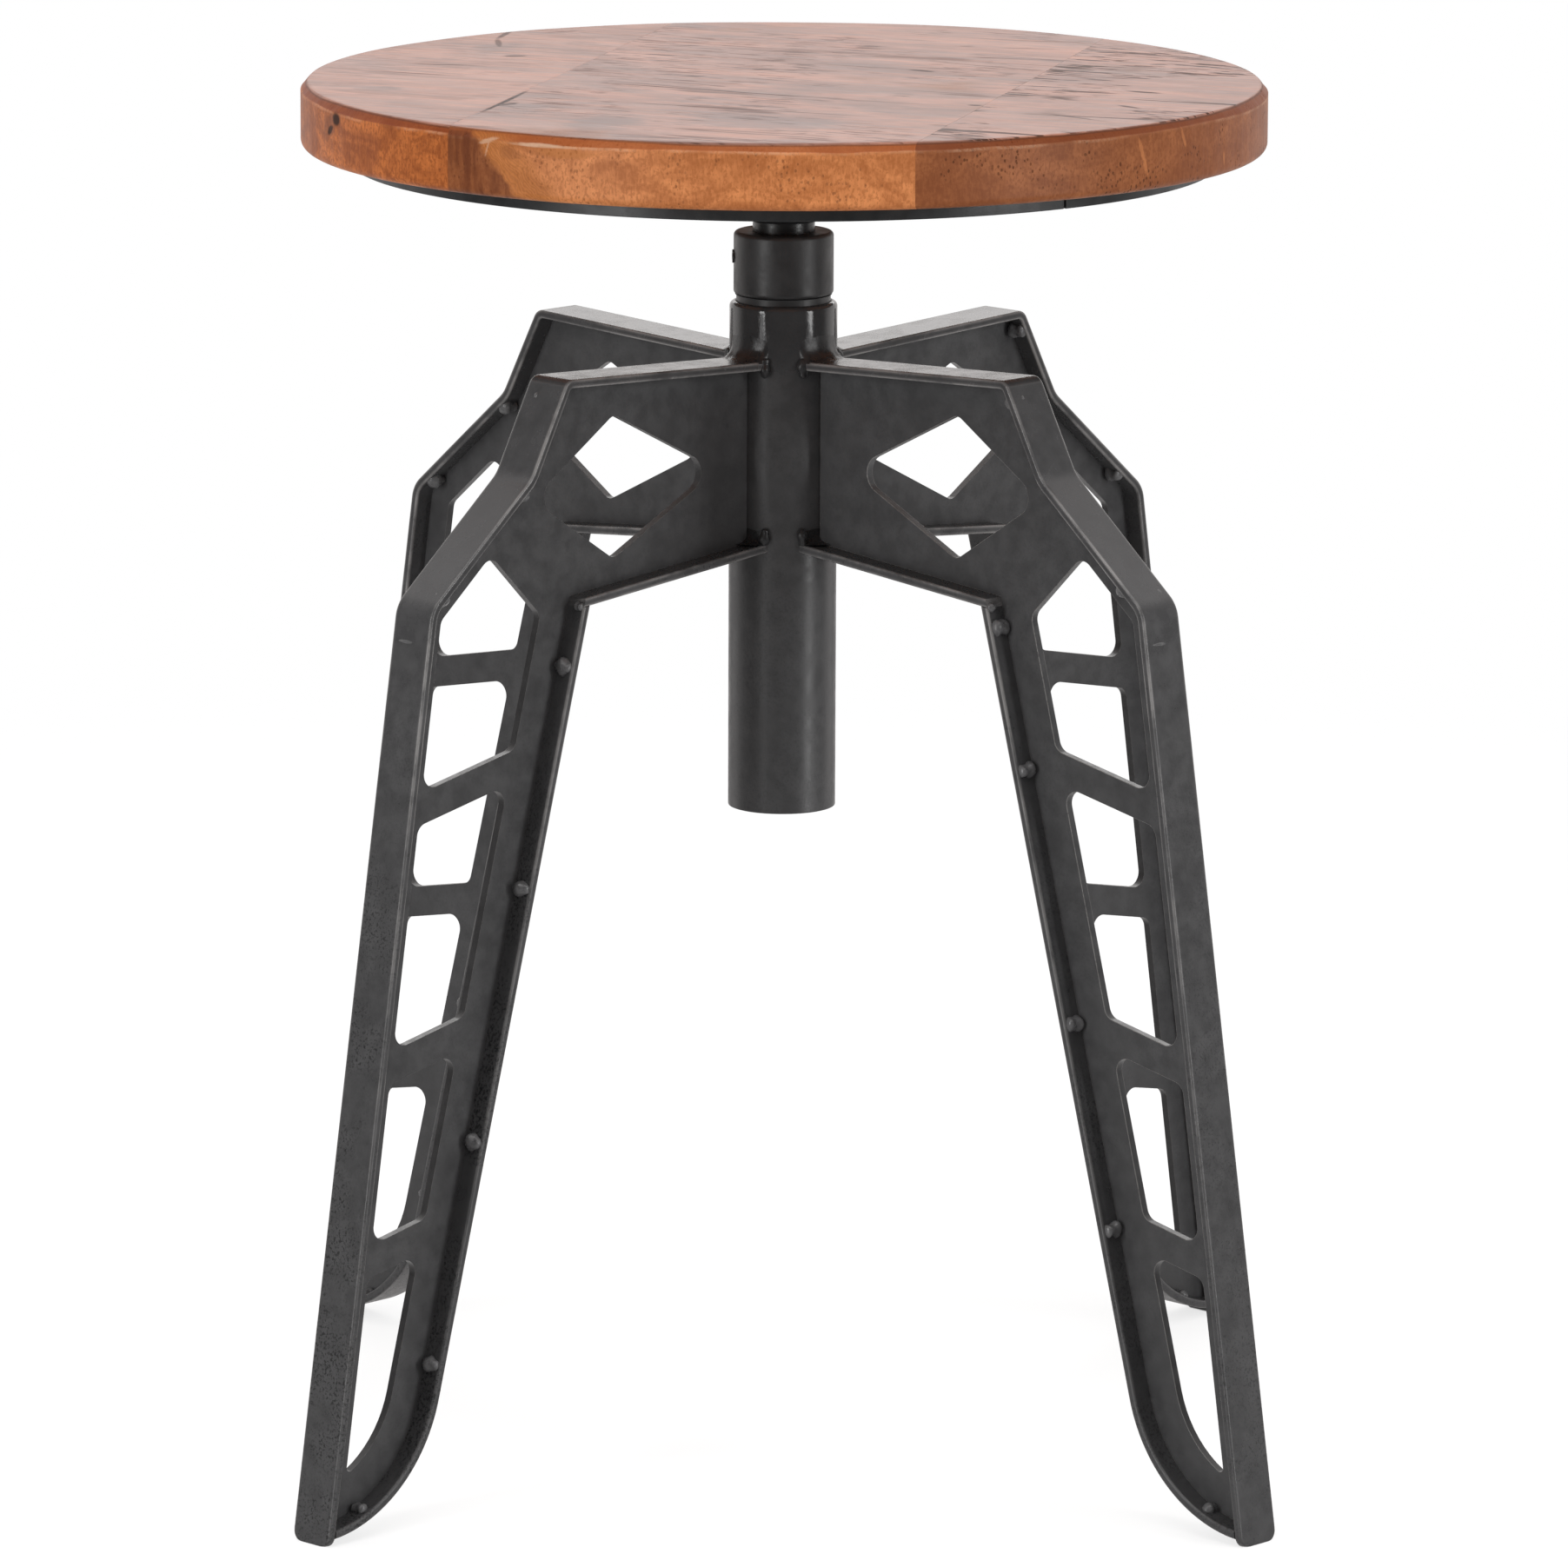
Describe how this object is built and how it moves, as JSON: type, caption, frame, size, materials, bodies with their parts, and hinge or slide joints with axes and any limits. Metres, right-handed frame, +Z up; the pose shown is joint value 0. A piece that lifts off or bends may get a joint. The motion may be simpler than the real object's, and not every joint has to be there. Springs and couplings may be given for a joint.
{
  "type": "screw-lift stool",
  "caption": "Round plank seat on a threaded spindle that screws up and down in the hub of a welded steel base with flanged, cut-out legs.",
  "frame": {"origin": "on the floor, on the axis of the hub and the seat", "axes": "+Z up along the spindle; +X and +Y out along two of the four legs"},
  "size_m": [0.485, 0.485, 0.51],
  "materials": {
    "painted_steel": "semi-gloss gunmetal paint",
    "gloss_black_steel": "gloss black paint",
    "weld_steel": "painted weld bead",
    "bright_steel": "machined, lightly oiled",
    "dark_fastener": "black oxide",
    "timber_left": "satin lacquer on reddish plank",
    "timber_middle": "satin lacquer on orange-brown plank",
    "timber_right": "satin lacquer on darker brown plank"
  },
  "bodies": {
    "base": {"hub_tube": "painted_steel", "screw_nut": "gloss_black_steel", "grub_screw": "dark_fastener", "right_web_plate": "painted_steel", "right_upper_rail": "painted_steel", "right_outer_bar": "painted_steel", "right_lower_rail": "painted_steel", "right_inner_bar": "painted_steel", "right_tack_welds": "weld_steel", "back_web_plate": "painted_steel", "back_upper_rail": "painted_steel", "back_outer_bar": "painted_steel", "back_lower_rail": "painted_steel", "back_inner_bar": "painted_steel", "back_tack_welds": "weld_steel", "left_web_plate": "painted_steel", "left_upper_rail": "painted_steel", "left_outer_bar": "painted_steel", "left_lower_rail": "painted_steel", "left_inner_bar": "painted_steel", "left_tack_welds": "weld_steel", "front_web_plate": "painted_steel", "front_upper_rail": "painted_steel", "front_outer_bar": "painted_steel", "front_lower_rail": "painted_steel", "front_inner_bar": "painted_steel", "front_tack_welds": "weld_steel"},
    "guide": {"guide_washer": "bright_steel"},
    "seat": {"seat_board_left": "timber_left", "seat_board_middle": "timber_middle", "seat_board_right": "timber_right", "seat_ring": "painted_steel", "cross_bar": "painted_steel", "cross_arm_front": "painted_steel", "cross_arm_back": "painted_steel", "spindle_boss": "gloss_black_steel", "spindle": "bright_steel", "end_bolt": "dark_fastener", "wood_screws": "dark_fastener"}
  },
  "joints": [
    {"name": "seat_lift", "type": "slide", "parent": "base", "child": "guide", "axis": [0, 0, 1], "range_m": [0, 0.15]},
    {"name": "seat_turn", "type": "hinge", "parent": "guide", "child": "seat", "pos_m": [0, 0, 0.48], "axis": [0, 0, 1], "range_deg": [0, 9000]}
  ],
  "couplings": [
    {"joint": "seat_lift", "follows": "seat_turn", "m_per_rad": 0.00095493}
  ]
}
